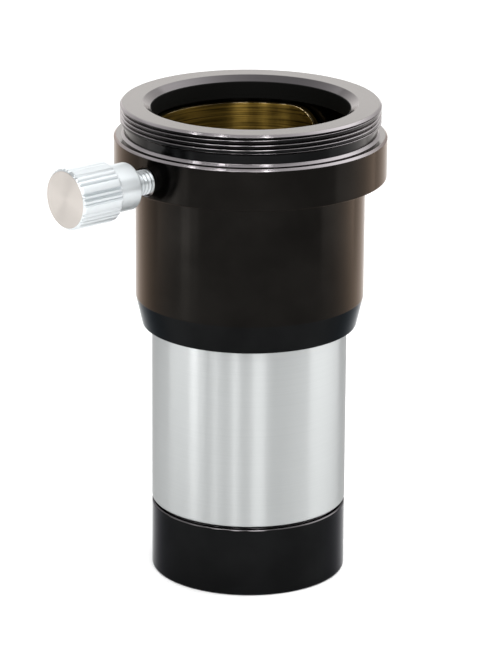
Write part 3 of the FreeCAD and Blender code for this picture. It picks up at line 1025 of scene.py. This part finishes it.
class EXTENDER_OT_thumbscrew(bpy.types.Operator):
    """Turns and knurls the thumbscrew"""

    bl_idname = "extender.thumbscrew"
    bl_label = "Thumbscrew"

    def execute(self, context):
        sizes, finishes = context.scene.extender_sizes, context.scene.extender_finishes
        metal = bright_screw("bright_screw", finishes.nickel, finishes.nickel_roughness)
        radius, tip, end = stud_high.y, -stud_high.x, -stud_low.x
        neck, face = -head_high.x, -head_low.x
        waist, inside = radius - 0.25 * MM, neck + 0.1 * MM
        stud_outline = [
            (0.0, tip),
            (radius, tip, 0.3 * MM),
            Thread(radius, radius - 0.30 * MM, tip + 0.35 * MM, 0.7 * MM, 9),
            (radius, neck - 0.8 * MM, 0.15 * MM),
            (waist, neck - 0.6 * MM, 0.1 * MM),
            (waist, inside, EDGE),
            (radius, inside, EDGE),
            (radius, end, 0.1 * MM),
            (0.0, end),
        ]
        stud = lathe("threaded_stud", turned_section(stud_outline, 0.0), even_turn(64), closed=False)
        along_screw(stud)
        fit(stud, metal, "knob", "bright_screw", "thumbscrew_stud")
        shoulder, back = 3.8 * MM, neck + 4.6 * MM
        grip, chamfer = sizes.grip_radius, 0.375 * MM
        bore, bore_end = radius + 0.05 * MM, neck + 8.7 * MM
        head_outline = [
            (bore, neck),
            (shoulder, neck, 0.3 * MM),
            (shoulder, back, 0.03 * MM),
            (grip, back, 0.4 * MM),
            (grip, face - chamfer),
            (grip - chamfer, face),
            (0.0, face, 0.0),
            (0.0, bore_end, 0.0),
            (bore, bore_end),
        ]
        half_width = 0.27 * MM / (FULL_TURN * grip)
        head = lathe(
            "knurled_head",
            grip_section(sizes, head_outline, shoulder, half_width),
            grip_turns(sizes.grip_groups, half_width),
        )
        along_screw(head)
        fit(head, metal, "knob", "bright_screw", "thumbscrew_head")
        turned = bright_screw("turned_face", finishes.nickel_face, 0.8 * finishes.nickel_roughness)
        head.data.materials.append(turned)
        turned_slot = 1
        for polygon in head.data.polygons:
            if polygon.center.z > face - 0.02 * MM:
                polygon.material_index = turned_slot
        return {"FINISHED"}


# each soft glow of the sky: its setting, the azimuth from the camera, elevation and tightness
GLOWS = (
    ("side_glow", 90.0, 10.0, 4.0),
    ("back_glow", 180.0, 18.0, 12.0),
    ("high_glow", 138.0, 48.0, 8.0),
    ("left_glow", -140.0, 20.0, 8.0),
)
# each softbox: its azimuth from the camera and elevation, then its reach, width, height and radiance
SOFTBOXES = (
    ("left_strip", -40.0, 35.0, 0.9, 0.126, 0.9, 3.8),
    ("middle_strip", -16.0, 35.0, 0.9, 0.126, 0.9, 4.75),
    ("right_strip", 12.0, 35.0, 0.9, 0.253, 0.9, 4.2),
    ("overhead_box", 0.0, 90.0, 1.0, 2.4, 2.4, 0.52),
    ("left_spark", -74.0, 58.6, 0.9, 0.04, 0.04, 18.0),
    ("middle_spark", -43.0, 66.6, 0.9, 0.04, 0.04, 18.0),
    ("right_spark", 25.0, 69.0, 0.9, 0.04, 0.04, 18.0),
    ("left_panel", -76.0, 7.4, 0.17, 0.166, 0.12, 0.95),
    ("left_tube", -64.0, 7.4, 0.17, 0.03, 0.12, 1.35),
    ("right_panel", 98.0, 7.4, 0.17, 0.166, 0.12, 0.97),
)


class EXTENDER_OT_studio(bpy.types.Operator):
    """Lays the white floor and sets the lights and the camera"""

    bl_idname = "extender.studio"
    bl_label = "Studio"

    def execute(self, context):
        studio = context.scene.extender_studio
        scene = context.scene
        scene.view_settings.view_transform = "Standard"
        scene.view_settings.look = "None"
        front = studio.camera_azimuth
        glows = [
            (front + math.radians(azimuth), math.radians(elevation), tightness, getattr(studio, name))
            for name, azimuth, elevation, tightness in GLOWS
        ]
        scene.world = studio_sky("studio", studio.sky, glows)
        card = [(0.0, 0.0), (0.2, 0.0), (3.0, 0.0)]
        floor = lathe("floor", lambda turned: card, even_turn(96), closed=False)
        floor.location.z = -0.05 * MM
        floor.data.materials.append(pale_floor("white_card"))
        for softbox in SOFTBOXES:
            self.add_softbox(scene, front, *softbox)
        camera = bpy.data.objects.new("camera", bpy.data.cameras.new("camera"))
        camera.data.sensor_fit = "VERTICAL"
        camera.data.sensor_width = camera.data.sensor_height = 36.0
        camera.data.lens = studio.focal_length
        camera.data.clip_end = 20.0
        scene.collection.objects.link(camera)
        stand = (
            Matrix.Rotation(front, 4, "Z")
            @ Matrix.Translation((studio.camera_reach, 0.0, studio.camera_height))
            @ Matrix.Rotation(math.pi / 2.0 + studio.camera_pan, 4, "Z")
        )
        lean = Matrix.Rotation(math.pi / 2.0 - studio.camera_tilt, 4, "X") @ Matrix.Rotation(
            studio.camera_roll, 4, "Z"
        )
        camera.matrix_world = stand @ lean
        scene.camera = camera
        return {"FINISHED"}

    @staticmethod
    def add_softbox(scene, front, name, azimuth, elevation, reach, width, height, radiance):
        """A rectangle of light that faces the object and that the camera doesn't see."""
        aim_height = 0.04
        watts = 4.0  # for each square metre, to give a radiance of 1
        data = bpy.data.lights.new(name, "AREA")
        data.shape = "RECTANGLE"
        data.size = width
        data.size_y = height
        data.energy = watts * width * height * radiance
        light = bpy.data.objects.new(name, data)
        scene.collection.objects.link(light)
        light.matrix_world = (
            Matrix.Translation((0.0, 0.0, aim_height))
            @ Matrix.Rotation(front + math.radians(azimuth), 4, "Z")
            @ Matrix.Rotation(-math.radians(elevation), 4, "Y")
            @ Matrix.Translation((reach, 0.0, 0.0))
            @ Matrix.Rotation(math.pi / 2.0, 4, "Z")
            @ Matrix.Rotation(math.pi / 2.0, 4, "X")
        )
        light.visible_camera = False


class EXTENDER_PT_pieces(bpy.types.Panel):
    """Lists the pieces, the studio and their settings"""

    bl_idname = "EXTENDER_PT_pieces"
    bl_label = "Eyepiece Extender"
    bl_space_type = "VIEW_3D"
    bl_region_type = "UI"
    bl_category = "Extender"

    def draw(self, context):
        for operator in OPERATORS:
            self.layout.operator(operator.bl_idname)
        for group in (
            context.scene.extender_sizes,
            context.scene.extender_finishes,
            context.scene.extender_studio,
        ):
            box = self.layout.box()
            for name in group.bl_rna.properties.keys():
                if name not in ("rna_type", "name"):
                    box.prop(group, name)


OPERATORS = (
    EXTENDER_OT_holder,
    EXTENDER_OT_barrel,
    EXTENDER_OT_cell,
    EXTENDER_OT_lenses,
    EXTENDER_OT_clamp_ring,
    EXTENDER_OT_thumbscrew,
    EXTENDER_OT_studio,
)
CLASSES = (ExtenderSizes, ExtenderFinishes, StudioSettings, *OPERATORS, EXTENDER_PT_pieces)


def register():
    for item in CLASSES:
        bpy.utils.register_class(item)
    bpy.types.Scene.extender_sizes = PointerProperty(type=ExtenderSizes)
    bpy.types.Scene.extender_finishes = PointerProperty(type=ExtenderFinishes)
    bpy.types.Scene.extender_studio = PointerProperty(type=StudioSettings)


def unregister():
    del bpy.types.Scene.extender_studio
    del bpy.types.Scene.extender_finishes
    del bpy.types.Scene.extender_sizes
    for item in reversed(CLASSES):
        bpy.utils.unregister_class(item)


def main():
    register()
    bpy.ops.extender.holder()
    bpy.ops.extender.barrel()
    bpy.ops.extender.cell()
    bpy.ops.extender.lenses()
    bpy.ops.extender.clamp_ring()
    bpy.ops.extender.thumbscrew()
    bpy.ops.extender.studio()
    bpy.context.view_layer.update()


if __name__ == "__main__":
    main()
